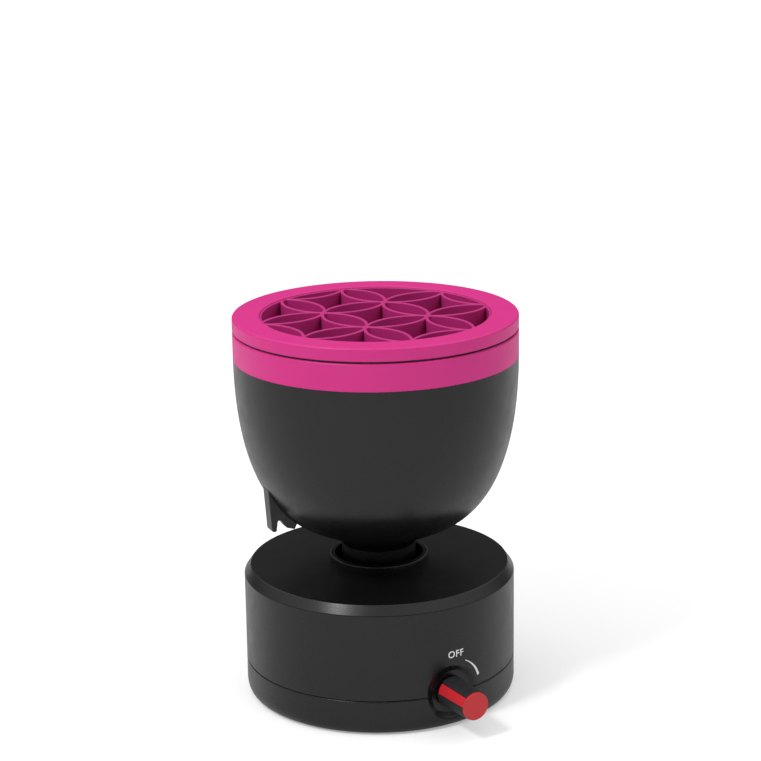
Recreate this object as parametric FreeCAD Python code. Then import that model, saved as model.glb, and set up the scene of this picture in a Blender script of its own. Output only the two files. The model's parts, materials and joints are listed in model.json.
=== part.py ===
# Electric make-up brush cleaner: a bowl that turns on a motor base, with a petal rack as its lid.
# Millimetres, +Z up. The origin is the middle of the non-slip pad's underside, which the cleaner
# stands on. The front is -Y, and the speed knob is a little to the right of the front.
import FreeCAD, Part
import math
import os

# Outer sizes
RIM_R = 62.5              # collar, rack and bowl at its rim
RACK_TOP = 172.7
RACK_SEAM = 166.3         # between the rack and the collar
BOWL_RIM = 154.2          # between the collar and the black bowl
BASE_R = 60.4
BASE_TOP = 59.2
BASE_SEAM = 16.0          # between the housing and the bottom cover
BASE_BEVEL = (3.0, 4.2)   # bevel round the top of the base: width, height
COLLAR_TOP = 63.2         # raised collar on top of the base
COLLAR_R = 22.0

# Walls and gaps
WALL = 2.2
EDGE = 0.35               # small bevel on each side of a parting line
GAP = 0.4                 # between parts that lift or turn past each other
RUN = 0.05                # radial running clearance of a shaft in its bush
PRESSED = 0.02            # radial room drawn at a pressed or snapped fit

# Base inside
PAD_R = 46.0
PAD_HIGH = 2.0
COVER_LOW = 0.6           # underside of the cover's edge
FLOOR = 4.2               # inside floor of the bottom cover
INSIDE_R = BASE_R - WALL
WELL_R = 19.6             # round well in the collar, where the bowl's neck goes down
WELL_FLOOR = 54.0
SCREW_RING_R = 52.0
SCREW_ANGLES = (30, 150, 270)

# Drive
MODULE = 1.0
PRESSURE = math.radians(20)
GEAR_TEETH = 45
PINION_TEETH = 15
BACKLASH = 0.16
GEAR_SPAN = (41.0, 47.0)
PINION_SPAN = (40.0, 48.0)
MOTOR_X = -MODULE * (GEAR_TEETH + PINION_TEETH) / 2
MOTOR_R = 14.0
MOTOR_SPAN = (8.0, 34.0)
MOTOR_SHAFT_R = 1.15
SHAFT_R = 3.0
SHAFT_SPAN = (29.4, 61.4)
PLATE_SPAN = (34.0, 36.5)
POSTS = ((-34.0, 24.0), (-34.0, -24.0), (33.0, 0.0))
BUSH_R = 5.0
HUB_FLATS = 15.0          # drive hexagon across its flats
HUB_SPAN = (56.6, 62.0)

# Bowl
NECK_R = 16.5
NECK_WALL = 2.5
NECK_LOW = 55.4
BOWL_FLOOR = 79.2
BOWL_LIP = 161.0          # top of the lip that the collar ring sits round
LIP_R = RIM_R - 1.6
LUG_ANGLE = -66.0         # from the front, negative to the left
LUG_THICK = 6.4

# Rack
OPENING_R = 50.5
GRID_PITCH = 32.5         # between neighbouring crossings of the grid
GRID_TURN = 35.0
GRID_WALL = 1.5
GRID_SPAN = (158.9, 172.2)

# Knob
KNOB_ANGLE = 31.0         # from the front, positive to the right
KNOB_Z = 16.2
DISH_R = 12.2
DISH_OUT = 58.2           # distances along the knob's axis, from the base's centre line
DISH_BACK = 55.0
KNOB_SPAN = (58.7, 77.5)
KNOB_FACE = 78.4
KNOB_R = 6.3
KNOB_HOLLOW_R = 5.7       # room for the nut at the back of the knob
KNOB_HOLLOW_END = 60.9
MARK_START = 59.6
MARK_TURN = 63.0          # where the marker stands, left of the top
MARK_WIDE = 4.0
SWITCH_BUSH_R = 3.6
SWITCH_HOLE_R = 3.7
SWITCH_BUSH_END = 60.4
TAG_END = 9.4             # how far the switch's tags reach below its axis

# Electrics
CELL_R = 9.1
CELL_LONG = 65.0
CELL_Y = 29.0
CELL_Z = 14.0
BOARD_LOW = 27.0
BOARD_HIGH = 28.6
SOCKET_Z = 30.3
LEAD_R = 0.65


def at(x, y, z):
    return FreeCAD.Vector(x, y, z)


def save(node, shape):
    """Write one sub-part to its own STEP file."""
    shape.exportStep("parts/" + node + ".step")


def cylinder(radius, low, high, x=0.0, y=0.0):
    return Part.makeCylinder(radius, high - low, at(x, y, low))


def ring(outer, inner, low, high, x=0.0, y=0.0):
    return cylinder(outer, low, high, x, y).cut(cylinder(inner, low, high, x, y))


def cone(low_r, high_r, low, high, x=0.0, y=0.0):
    return Part.makeCone(low_r, high_r, high - low, at(x, y, low))


def block(low, high):
    """A box between two opposite corners."""
    size = [abs(b - a) for a, b in zip(low, high)]
    return Part.makeBox(*size, at(*[min(a, b) for a, b in zip(low, high)]))


def prism(points, low, high):
    """A flat outline in X and Y, raised from low to high."""
    corners = [at(x, y, low) for x, y in points]
    face = Part.Face(Part.makePolygon(corners + corners[:1]))
    return face.extrude(at(0, 0, high - low))


def hexagon(flats, low, high, x=0.0, y=0.0):
    radius = flats / math.sqrt(3)
    turns = [math.radians(60 * k) for k in range(6)]
    return prism([(x + radius * math.cos(t), y + radius * math.sin(t)) for t in turns], low, high)


def edge(span):
    """One edge of a turned outline: two points a line, three an arc, four a Bezier curve."""
    points = [at(r, 0, z) for r, z in span]
    if len(points) == 2:
        return Part.makeLine(*points)
    if len(points) == 3:
        return Part.Arc(*points).toShape()
    curve = Part.BezierCurve()
    curve.setPoles(points)
    return curve.toShape()


def turned(*spans):
    """Spin a closed outline of spans, in radius and height, about the vertical axis."""
    face = Part.Face(Part.Wire([edge(span) for span in spans]))
    return face.revolve(at(0, 0, 0), at(0, 0, 1), 360)


def turned_corners(*points):
    """Spin a closed outline with straight sides."""
    spans = zip(points, points[1:] + points[:1])
    return turned(*spans)


def rounded_corner(corner, before, after, size):
    """The points of an arc that rounds a corner between two straight sides."""
    ends = []
    for other in (before, after):
        length = math.dist(corner, other)
        ends.append(tuple(c + (o - c) * size / length for c, o in zip(corner, other)))
    middle = tuple((a + b) / 2 * 0.59 + c * 0.41 for a, b, c in zip(ends[0], ends[1], corner))
    return ends[0], middle, ends[1]


def round_places(radius, angles):
    return [(radius * math.cos(math.radians(a)), radius * math.sin(math.radians(a))) for a in angles]


def fused(shapes):
    """Join shapes into one clean solid."""
    return shapes[0].multiFuse(shapes[1:]).removeSplitter()


def stood_at(angle, shape):
    """Turn a shape built in the XZ plane so that its +X side points to an angle from the front."""
    moved = shape.copy()
    moved.rotate(at(0, 0, 0), at(0, 0, 1), angle - 90)
    return moved


def on_knob_axis(shape):
    """Move a shape built up +Z, with +Y as its top, onto the knob's axis."""
    angle = math.radians(KNOB_ANGLE)
    right = at(math.cos(angle), math.sin(angle), 0)
    out = at(math.sin(angle), -math.cos(angle), 0)
    moved = shape.copy()
    turn = FreeCAD.Rotation(right, at(0, 0, 1), out, "ZXY")
    moved.Placement = FreeCAD.Placement(at(0, 0, KNOB_Z), turn)
    return moved


def screw(x, y, seat, tip, head_r, thread_r, head_high):
    """A pan-head screw with a cross recess; its head is on the seat side, away from the tip."""
    up = 1 if tip > seat else -1
    thread = cylinder(thread_r, min(seat, tip), max(seat, tip), x, y)
    head_end = seat - up * head_high
    head = cylinder(head_r, min(seat, head_end), max(seat, head_end), x, y)
    deep = head_end + up * head_high * 0.55
    bars = []
    for wide, long in ((0.35, head_r * 0.6), (head_r * 0.6, 0.35)):
        corners = ((x - wide, y - long, min(head_end, deep)), (x + wide, y + long, max(head_end, deep)))
        bars.append(block(*corners))
    return fused([thread, head]).cut(fused(bars))


def lead(points, bend=2.5):
    """A round wire along straight runs joined by tangent arcs."""
    edges = []
    start = at(*points[0])
    for before, corner, after in zip(points, points[1:], points[2:]):
        corner = at(*corner)
        back = (at(*before) - corner).normalize()
        onward = (at(*after) - corner).normalize()
        half_turn = back.getAngle(onward) / 2
        reach = bend / math.tan(half_turn)
        first = corner + back * reach
        last = corner + onward * reach
        inward = (back + onward).normalize()
        middle = corner + inward * (bend / math.sin(half_turn) - bend)
        edges.append(Part.makeLine(start, first))
        edges.append(Part.Arc(first, middle, last).toShape())
        start = last
    edges.append(Part.makeLine(start, at(*points[-1])))
    path = Part.Wire(edges)
    heading = (at(*points[1]) - at(*points[0])).normalize()
    section = Part.Wire(Part.makeCircle(LEAD_R, at(*points[0]), heading))
    return path.makePipeShell([section], True, True)


def involute(angle):
    return math.tan(angle) - angle


def spur_gear(teeth, tip_r, low, high, x, y):
    """A spur gear with involute teeth; one tooth points along +X."""
    pitch_r = MODULE * teeth / 2
    base_r = pitch_r * math.cos(PRESSURE)
    root_r = pitch_r - 1.25 * MODULE
    start_r = max(base_r, root_r)
    pitch_half = math.pi / (2 * teeth) - BACKLASH / (2 * pitch_r)

    def half_width(radius):
        return pitch_half + involute(PRESSURE) - involute(math.acos(base_r / radius))

    def place(radius, turn):
        return at(x + radius * math.cos(turn), y + radius * math.sin(turn), low)

    radii = [start_r + (tip_r - start_r) * step / 3 for step in range(4)]
    edges = []
    for tooth in range(teeth):
        middle = 2 * math.pi * tooth / teeth
        rising = [place(r, middle - half_width(r)) for r in radii]
        falling = [place(r, middle + half_width(r)) for r in reversed(radii)]
        foot = half_width(start_r)
        next_foot = middle + 2 * math.pi / teeth - foot
        valley = [place(root_r, t) for t in (middle + foot, (middle + foot + next_foot) / 2, next_foot)]
        if base_r > root_r:
            edges.append(Part.makeLine(place(root_r, middle - foot), rising[0]))
        for flank in (rising, falling):
            curve = Part.BSplineCurve()
            curve.interpolate(flank)
            edges.append(curve.toShape())
            if flank is rising:
                edges.append(Part.Arc(rising[-1], place(tip_r, middle), falling[0]).toShape())
        if base_r > root_r:
            edges.append(Part.makeLine(falling[-1], valley[0]))
        edges.append(Part.Arc(*valley).toShape())
    return Part.Face(Part.Wire(edges)).extrude(at(0, 0, high - low))


def knob_dish():
    """What the round dish for the knob takes out of the base's wall."""
    return on_knob_axis(cylinder(DISH_R, DISH_OUT, BASE_R + 5))


def knob_backing():
    """The flat wall behind the dish, with the hole for the switch's bush."""
    return on_knob_axis(ring(DISH_R + 1.6, SWITCH_HOLE_R, DISH_BACK, DISH_OUT))


def switch_hole():
    """The hole for the switch's bush, which the parting line crosses."""
    return on_knob_axis(cylinder(SWITCH_HOLE_R, DISH_BACK - 5, BASE_R))


def base_housing():
    """The drum, its bevelled top, the raised collar with its well, and the posts inside."""
    bevel_out, bevel_down = BASE_BEVEL
    foot_start = (COLLAR_R + 1.6, BASE_TOP)
    collar_foot = (foot_start, (COLLAR_R + 0.45, BASE_TOP + 0.45), (COLLAR_R, BASE_TOP + 1.6))
    rim_out = rounded_corner((COLLAR_R, COLLAR_TOP), (COLLAR_R, BASE_TOP), (WELL_R, COLLAR_TOP), 0.9)
    top_inside = BASE_TOP - WALL
    corners = [
        (WELL_R + 0.6, COLLAR_TOP), (WELL_R, COLLAR_TOP - 0.6), (WELL_R, WELL_FLOOR), (6.0, WELL_FLOOR),
        (6.0, 52.0), (BUSH_R, 52.0), (BUSH_R, 48.4), (8.2, 48.4), (8.2, 51.8), (WELL_R + WALL, 51.8),
        (WELL_R + WALL, top_inside), (INSIDE_R - bevel_out, top_inside),
        (INSIDE_R, BASE_TOP - bevel_down - 0.6), (INSIDE_R, BASE_SEAM), (BASE_R - EDGE, BASE_SEAM),
        (BASE_R, BASE_SEAM + EDGE), (BASE_R, BASE_TOP - bevel_down), (BASE_R - bevel_out, BASE_TOP),
        foot_start]
    lines = list(zip(corners, corners[1:]))
    shell = turned(*lines, collar_foot, (collar_foot[2], rim_out[0]), rim_out, (rim_out[2], corners[0]))
    above_seam = block((-80, -80, BASE_SEAM), (80, 80, 100))
    backing = knob_backing().common(above_seam).common(cylinder(BASE_R - 1, 0, 60))
    pieces = [shell.cut(knob_dish()), backing]
    for x, y in POSTS:
        pieces.append(ring(3.2, 1.1, PLATE_SPAN[1], top_inside + 0.5, x, y))
    for angle in SCREW_ANGLES:
        post_x, post_y = round_places(SCREW_RING_R, [angle])[0]
        post = ring(3.6, 1.2, BASE_SEAM + 2.6, 30.0, post_x, post_y)
        web = block((SCREW_RING_R + 3.0, -0.9, BASE_SEAM + 2.6), (INSIDE_R + 0.5, 0.9, 30.0))
        web.rotate(at(0, 0, 0), at(0, 0, 1), angle)
        pieces.extend([post, web])
    socket_slot = block((-5.0, 52.0, SOCKET_Z - 2.0), (5.0, 66.0, SOCKET_Z + 2.0))
    return fused(pieces).cut(socket_slot).cut(switch_hole())


def base_bottom_cover():
    """The cup below the parting line, with a tongue inside the housing and the screw posts."""
    tongue_r = INSIDE_R - 0.2
    inner_r = tongue_r - 1.2
    cup = turned(
        ((0, PAD_HIGH), (PAD_R + 0.3, PAD_HIGH)), ((PAD_R + 0.3, PAD_HIGH), (PAD_R + 0.3, COVER_LOW)),
        ((PAD_R + 0.3, COVER_LOW), (BASE_R - 3.0, COVER_LOW)),
        ((BASE_R - 3.0, COVER_LOW), (BASE_R - 1.2, COVER_LOW), (BASE_R, 2.8), (BASE_R, 6.0)),
        ((BASE_R, 6.0), (BASE_R, BASE_SEAM - EDGE)),
        ((BASE_R, BASE_SEAM - EDGE), (BASE_R - EDGE, BASE_SEAM)),
        ((BASE_R - EDGE, BASE_SEAM), (tongue_r, BASE_SEAM)),
        ((tongue_r, BASE_SEAM), (tongue_r, BASE_SEAM + 2.4)),
        ((tongue_r, BASE_SEAM + 2.4), (inner_r, BASE_SEAM + 2.4)),
        ((inner_r, BASE_SEAM + 2.4), (inner_r, FLOOR)), ((inner_r, FLOOR), (0, FLOOR)),
        ((0, FLOOR), (0, PAD_HIGH)))
    below_seam = block((-80, -80, 0), (80, 80, BASE_SEAM))
    tongue_notch = on_knob_axis(cylinder(DISH_R + 3.0, 50.0, 66.0)).cut(below_seam)
    backing = knob_backing().common(below_seam)
    cup = cup.cut(tongue_notch).cut(knob_dish())
    posts = []
    for x, y in round_places(SCREW_RING_R, SCREW_ANGLES):
        posts.append(cylinder(3.6, FLOOR - 0.5, BASE_SEAM + 2.4, x, y))
    cover = fused([cup, backing] + posts)
    for x, y in round_places(SCREW_RING_R, SCREW_ANGLES):
        cover = cover.cut(cylinder(1.6, 0, BASE_SEAM + 3, x, y)).cut(cylinder(3.0, 0, 3.4, x, y))
    return cover.cut(switch_hole())


def anti_slip_pad():
    """The rubber disc that the cleaner stands on, with three shallow rings in its underside."""
    pad = cylinder(PAD_R, 0, PAD_HIGH)
    for radius in (38.0, 28.0, 18.0):
        pad = pad.cut(ring(radius + 1.0, radius, 0, 0.5))
    return pad


def cover_screws():
    places = round_places(SCREW_RING_R, SCREW_ANGLES)
    return Part.makeCompound([screw(x, y, 3.4, 27.0, 2.7, 1.2, 1.8) for x, y in places])


def motor_plate():
    """The moulded plate that carries the motor and the drive shaft's lower bush."""
    low, high = PLATE_SPAN
    outline = [
        (-47, -15), (-40, -29), (-29, -29), (36, -6.5), (38.5, 0),
        (36, 6.5), (-29, 29), (-40, 29), (-47, 15)]
    plate = fused([prism(outline, low, high), cylinder(8.2, 31.6, high)])
    plate = plate.cut(cylinder(BUSH_R, 30, high + 1)).cut(cylinder(4.2, low - 1, high + 1, MOTOR_X))
    for x, y in POSTS:
        plate = plate.cut(cylinder(1.5, low - 1, high + 1, x, y))
    for side in (-1, 1):
        plate = plate.cut(cylinder(1.5, low - 1, high + 1, MOTOR_X, side * 9.0))
    return plate


def plate_screws():
    """Three screws up through the plate into the housing's posts."""
    seat = PLATE_SPAN[0]
    return Part.makeCompound([screw(x, y, seat, 46.0, 2.6, 1.1, 1.7) for x, y in POSTS])


def motor_can():
    """The motor's steel can with its front boss and the bore that its shaft turns in."""
    low, high = MOTOR_SPAN
    can = fused([
        cylinder(MOTOR_R, low, high - 0.8, MOTOR_X),
        cone(MOTOR_R, MOTOR_R - 0.8, high - 0.8, high, MOTOR_X),
        cylinder(4.1, high, high + 1.6, MOTOR_X)])
    can = can.cut(cylinder(MOTOR_SHAFT_R + RUN, 10.0, 40.0, MOTOR_X))
    for side in (-1, 1):
        can = can.cut(cylinder(1.0, high - 3.0, high, MOTOR_X, side * 9.0))
        flat = block((MOTOR_X - 20, side * 12.0, low), (MOTOR_X + 20, side * 15.0, high))
        can = can.cut(flat)
    return can


def motor_end_cap():
    cap = cylinder(MOTOR_R - 0.6, 5.0, MOTOR_SPAN[0], MOTOR_X)
    return cap.cut(ring(11.0, 8.0, 5.0, 5.8, MOTOR_X))


def motor_screws():
    """Two screws down through the plate into the motor's face."""
    seat = PLATE_SPAN[1]
    return Part.makeCompound([screw(MOTOR_X, y, seat, 31.4, 2.2, 1.0, 1.2) for y in (-9.0, 9.0)])


def motor_shaft():
    return cylinder(MOTOR_SHAFT_R, 12.0, PINION_SPAN[1] + 0.6, MOTOR_X)


def motor_pinion():
    gear = spur_gear(PINION_TEETH, MODULE * (PINION_TEETH / 2 + 1), *PINION_SPAN, MOTOR_X, 0)
    return gear.cut(cylinder(MOTOR_SHAFT_R + PRESSED, 30, 60, MOTOR_X))


def drive_shaft():
    """The upright shaft, grooved near its foot for the clip."""
    low, high = SHAFT_SPAN
    shaft = fused([cone(SHAFT_R - 0.4, SHAFT_R, low, low + 0.4), cylinder(SHAFT_R, low + 0.4, high)])
    return shaft.cut(ring(SHAFT_R + 1, SHAFT_R - 0.6, 30.4, 31.2))


def drive_gear():
    """The large moulded gear: toothed rim, thin web with six round windows, and a thick boss."""
    low, high = GEAR_SPAN
    gear = spur_gear(GEAR_TEETH, MODULE * (GEAR_TEETH / 2 + 0.9), low, high, 0, 0)
    gear = gear.cut(ring(19.0, 7.5, high - 1.8, high + 1)).cut(ring(19.0, 7.5, low - 1, low + 1.8))
    for x, y in round_places(13.2, range(0, 360, 60)):
        gear = gear.cut(cylinder(3.6, low, high, x, y))
    boss = cylinder(7.5, low - 3.0, high)
    return fused([gear, boss]).cut(cylinder(SHAFT_R + PRESSED, 30, 60))


def shaft_clip():
    """A retaining clip with an open side, snapped into the shaft's groove under the lower bush."""
    clip = ring(5.2, SHAFT_R - 0.6 + PRESSED, 30.4 + PRESSED, 31.2 - PRESSED)
    return clip.cut(block((0, -1.6, 30), (8, 1.6, 32)))


def bush(low, high):
    return ring(BUSH_R, SHAFT_R + RUN, low, high)


def shaft_seal():
    """A rubber lip seal that keeps water in the well out of the drive."""
    groove = ring(5.0, SHAFT_R + 0.9, 53.0, WELL_FLOOR)
    return ring(6.0, SHAFT_R + RUN, 52.0, WELL_FLOOR).cut(groove)


def drive_hub():
    """The disc and bevelled hexagon, pressed on the shaft, that turn the bowl."""
    low, high = HUB_SPAN
    corner_r = HUB_FLATS / math.sqrt(3)
    bevel = 1.2
    bevelled = fused([
        cylinder(corner_r, low, high - bevel),
        cone(corner_r, corner_r - bevel, high - bevel, high)])
    boss = hexagon(HUB_FLATS, low, high).common(bevelled)
    bore = cylinder(SHAFT_R + PRESSED, 50, SHAFT_SPAN[1])
    return fused([cylinder(12.0, WELL_FLOOR + 0.6, low), boss]).cut(bore)


def drive_socket():
    """The insert in the bowl's neck, with a hexagonal hole that drops over the hub."""
    insert = cylinder(NECK_R - NECK_WALL, HUB_SPAN[0] + 0.1, 70.0)
    hole = hexagon(HUB_FLATS + 2 * GAP, 50.0, HUB_SPAN[1] + 0.8)
    lead_in = cone(11.4, 8.0, HUB_SPAN[0], HUB_SPAN[0] + 2.0)
    return insert.cut(hole).cut(lead_in)


def bowl_outside():
    """The bowl's outer curve as spans, from the rim down to the neck."""
    return [
        ((RIM_R, BOWL_RIM), (RIM_R - 0.3, 116.4), (53.3, 89.2), (34.7, 79.0)),
        ((34.7, 79.0), (28.5, 75.6), (17.5, 72.3), (NECK_R, 68.0))]


def bowl_shell():
    """The black bowl: curved wall, flat floor, lip for the collar ring, neck and forked lug."""
    wall = turned(
        *bowl_outside(), ((NECK_R, 68.0), (NECK_R, NECK_LOW + 0.6)),
        ((NECK_R, NECK_LOW + 0.6), (NECK_R - 0.6, NECK_LOW)),
        ((NECK_R - 0.6, NECK_LOW), (NECK_R - NECK_WALL, NECK_LOW)),
        ((NECK_R - NECK_WALL, NECK_LOW), (NECK_R - NECK_WALL, 70.0)),
        ((NECK_R - NECK_WALL, 70.0), (0, 70.0)),
        ((0, 70.0), (0, BOWL_FLOOR)), ((0, BOWL_FLOOR), (27.0, BOWL_FLOOR)),
        ((27.0, BOWL_FLOOR), (29.0, BOWL_FLOOR), (31.4, 80.0), (33.6, 81.2)),
        ((33.6, 81.2), (51.4, 91.0), (59.9, 117.2), (RIM_R - 2.3, BOWL_RIM)),
        ((RIM_R - 2.3, BOWL_RIM), (LIP_R - 2.0, BOWL_LIP)), ((LIP_R - 2.0, BOWL_LIP), (LIP_R, BOWL_LIP)),
        ((LIP_R, BOWL_LIP), (LIP_R, BOWL_RIM)), ((LIP_R, BOWL_RIM), (RIM_R, BOWL_RIM)))
    return fused([wall, bowl_lug()])


def bowl_lug():
    """The forked lug under the bowl's side: a long outer prong, an arched notch and a short prong."""
    outline = [
        ((48.0, 104.0), (53.6, 102.0)), ((53.6, 102.0), (52.1, 82.0)),
        ((52.1, 82.0), (51.7, 81.0), (50.7, 80.6)), ((50.7, 80.6), (49.8, 80.9)),
        ((49.8, 80.9), (49.2, 85.0)), ((49.2, 85.0), (48.6, 86.5), (47.3, 85.8)),
        ((47.3, 85.8), (44.5, 82.4)), ((44.5, 82.4), (43.9, 81.9), (43.3, 82.4)),
        ((43.3, 82.4), (42.6, 88.0)), ((42.6, 88.0), (48.0, 104.0))]
    plate = Part.Face(Part.Wire([edge(span) for span in outline]))
    plate.translate(at(0, -LUG_THICK / 2, 0))
    lug = stood_at(LUG_ANGLE, plate.extrude(at(0, LUG_THICK, 0)))
    filled = turned(
        *bowl_outside(), ((NECK_R, 68.0), (0, 68.0)), ((0, 68.0), (0, BOWL_RIM)),
        ((0, BOWL_RIM), (RIM_R, BOWL_RIM)))
    return lug.cut(filled)


def collar_ring():
    """The magenta ring round the bowl's lip, flush with the black wall below it."""
    top = RACK_SEAM - 0.2
    return turned_corners(
        (LIP_R, BOWL_RIM), (RIM_R, BOWL_RIM), (RIM_R, top - 0.4), (RIM_R - 0.4, top), (LIP_R - 2.0, top),
        (LIP_R - 2.0, BOWL_LIP), (LIP_R, BOWL_LIP))


def rack_rim():
    """The magenta lid ring: flat top, outer skirt, plug that drops in the collar, inner wall."""
    low = RACK_SEAM + 0.4
    plug_r = LIP_R - 2.0 - GAP
    under = RACK_TOP - 2.4
    edge_out = rounded_corner((RIM_R, RACK_TOP), (RIM_R, low), (OPENING_R, RACK_TOP), 0.9)
    edge_in = rounded_corner((OPENING_R, RACK_TOP), (RIM_R, RACK_TOP), (OPENING_R, low), 0.5)
    corners = [
        edge_in[2], (OPENING_R, GRID_SPAN[0] - 0.4), (OPENING_R + 1.6, GRID_SPAN[0] - 0.4),
        (OPENING_R + 1.6, under), (plug_r - 1.6, under), (plug_r - 1.6, 160.0), (plug_r, 160.0),
        (plug_r, low + 2.0), (RIM_R - 2.0, low + 2.0), (RIM_R - 2.0, low),
        (RIM_R - 0.4, low), (RIM_R, low + 0.4), edge_out[0]]
    return turned(*zip(corners, corners[1:]), edge_out, (edge_out[2], edge_in[0]), edge_in)


def petal_grid():
    """Overlapping rings whose lenses and four-sided cells grip the brushes' handles."""
    low, high = GRID_SPAN
    arc_r = GRID_PITCH / math.sqrt(2)
    half_wall = GRID_WALL / 2
    turn = math.radians(GRID_TURN)
    along = (math.cos(turn), math.sin(turn))
    across = (-math.sin(turn), math.cos(turn))
    steps = (-2, -1, 0, 1, 2)
    walls = []
    for i in steps:
        for j in steps:
            x = GRID_PITCH * (i * along[0] + j * across[0])
            y = GRID_PITCH * (i * along[1] + j * across[1])
            if math.hypot(x, y) - arc_r < OPENING_R - 2 * GRID_WALL:
                walls.append(ring(arc_r + half_wall, arc_r - half_wall, low, high, x, y))
            node_x = x + GRID_PITCH / 2 * (along[0] + across[0])
            node_y = y + GRID_PITCH / 2 * (along[1] + across[1])
            if math.hypot(node_x, node_y) < OPENING_R:
                walls.append(cylinder(GRID_WALL * 1.25, low, high, node_x, node_y))
    band = ring(OPENING_R, OPENING_R - 1.0, low, high)
    return fused([fused(walls).common(cylinder(OPENING_R - 0.5, low, high)), band])


def rim_seal():
    """The soft ring under the rack's edge, seen as the dark line between rack and collar."""
    plug_r = LIP_R - 2.0 - GAP
    low = RACK_SEAM - 0.1
    upright = ring(RIM_R - 2.0, plug_r, low + 0.2, RACK_SEAM + 2.4)
    return upright.fuse(ring(RIM_R - 0.9, plug_r, low, RACK_SEAM + 0.4))


def scrub_mat():
    """The silicone mat on the bowl's floor: a disc with a dome, ribs and rings of round nubs."""
    low = BOWL_FLOOR + 0.1
    top = low + 2.0
    pieces = [cylinder(26.4, low, top), cone(6.0, 3.0, top, top + 3.0)]
    for count, radius in ((8, 10.0), (14, 16.0), (20, 22.5)):
        for x, y in round_places(radius, [360 / count * k for k in range(count)]):
            pieces.append(cone(1.5, 0.9, top - 0.2, top + 3.6, x, y))
    return fused(pieces)


def rotary_switch():
    """The speed switch: a round body behind the wall and a threaded bush through it."""
    bush_part = cylinder(SWITCH_BUSH_R, DISH_BACK, SWITCH_BUSH_END)
    body = cylinder(8.0, DISH_BACK - 9.6, DISH_BACK).fuse(bush_part)
    for side in (-1, 0, 1):
        body = body.fuse(block((side * 4.0 - 0.6, -TAG_END, 47.0), (side * 4.0 + 0.6, -7.0, 47.8)))
    return on_knob_axis(body.cut(cylinder(SHAFT_R + RUN, 47.0, BASE_R + 1)))


def switch_nut():
    nut = hexagon(9.4, DISH_OUT, DISH_OUT + 2.0)
    return on_knob_axis(nut.cut(cylinder(SWITCH_BUSH_R, DISH_BACK, BASE_R + 1)))


def switch_shaft():
    return on_knob_axis(cylinder(SHAFT_R, 48.0, 70.0))


def marker_bar():
    """The marker's bar: a block along the knob's side, standing at the marked angle."""
    bar = block((-MARK_WIDE / 2, 3.9, MARK_START), (MARK_WIDE / 2, 9.0, KNOB_FACE))
    bar.rotate(at(0, 0, 0), at(0, 0, 1), MARK_TURN)
    return bar


def nut_room():
    """The hollow at the back of the knob."""
    return cylinder(KNOB_HOLLOW_R, DISH_OUT - 5, KNOB_HOLLOW_END)


def knob_body():
    """The round knob: slightly tapered, hollow over the nut, with a slot for the marker."""
    low, high = KNOB_SPAN
    side = cone(KNOB_R + 0.7, KNOB_R, low, high - 0.4)
    body = side.fuse(cone(KNOB_R, KNOB_R - 0.4, high - 0.4, high))
    bore = cylinder(SHAFT_R + PRESSED, low, 70.0)
    return on_knob_axis(body.cut(nut_room()).cut(bore).cut(marker_bar()))


def knob_marker():
    """The red insert: a bar along the knob's side that ends in a round disc on its face."""
    skin = fused([
        cone(KNOB_R + 0.95, KNOB_R + 0.25, MARK_START, KNOB_FACE - 0.4),
        cone(KNOB_R + 0.25, KNOB_R - 0.15, KNOB_FACE - 0.4, KNOB_FACE)])
    disc = fused([
        cylinder(KNOB_R - 0.1, KNOB_SPAN[1], KNOB_FACE - 0.3),
        cone(KNOB_R - 0.1, KNOB_R - 0.4, KNOB_FACE - 0.3, KNOB_FACE)])
    return on_knob_axis(marker_bar().common(skin).cut(nut_room()).fuse(disc))


def battery_cell():
    cell = Part.makeCylinder(CELL_R, CELL_LONG, at(-CELL_LONG / 2, CELL_Y, CELL_Z), at(1, 0, 0))
    button = Part.makeCylinder(3.0, 0.8, at(CELL_LONG / 2, CELL_Y, CELL_Z), at(1, 0, 0))
    return cell.fuse(button)


def battery_holder():
    """An open cradle on the cover's floor that the cell presses into."""
    half = CELL_LONG / 2 + 3.0
    tub = block((-half, CELL_Y - 10.8, FLOOR), (half, CELL_Y + 10.8, CELL_Z + 2.0))
    room = Part.makeCylinder(CELL_R + 0.1, 2 * half - 3.0, at(1.5 - half, CELL_Y, CELL_Z), at(1, 0, 0))
    side_y = CELL_R + 0.1
    mouth = block((1.5 - half, CELL_Y - side_y, CELL_Z), (half - 1.5, CELL_Y + side_y, CELL_Z + 3.0))
    return tub.cut(room).cut(mouth)


def battery_contacts():
    """Sprung steel leaves at the two ends of the cell."""
    left = -CELL_LONG / 2 - 1.4
    right = CELL_LONG / 2 + 0.9
    leaves = []
    for x in (left, right):
        leaves.append(block((x, CELL_Y - 3.5, CELL_Z - 5), (x + 0.5, CELL_Y + 3.5, CELL_Z + 8)))
    pad = Part.makeCylinder(2.5, 0.8, at(left + 0.5, CELL_Y, CELL_Z), at(1, 0, 0))
    return Part.makeCompound([leaves[0].fuse(pad), leaves[1]])


def control_board():
    """The circuit board over the cell, under the charging socket."""
    return block((-22.0, 20.0, BOARD_LOW), (22.0, 52.0, BOARD_HIGH))


def board_components():
    """The larger parts on the board: driver chip, two capacitors, an inductor and a connector."""
    chip = block((-5.0, 30.0, BOARD_HIGH), (5.0, 37.0, BOARD_HIGH + 1.5))
    inductor = cylinder(4.5, BOARD_HIGH, BOARD_HIGH + 4.0, 13.0, 42.0)
    connector = block((-4.0, 42.5, BOARD_HIGH), (4.0, 46.0, BOARD_HIGH + 4.5))
    capacitors = [cylinder(3.2, BOARD_HIGH, BOARD_HIGH + 7.0, x, 43.0) for x in (-16.0, -9.0)]
    return Part.makeCompound([chip, inductor, connector] + capacitors)


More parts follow.
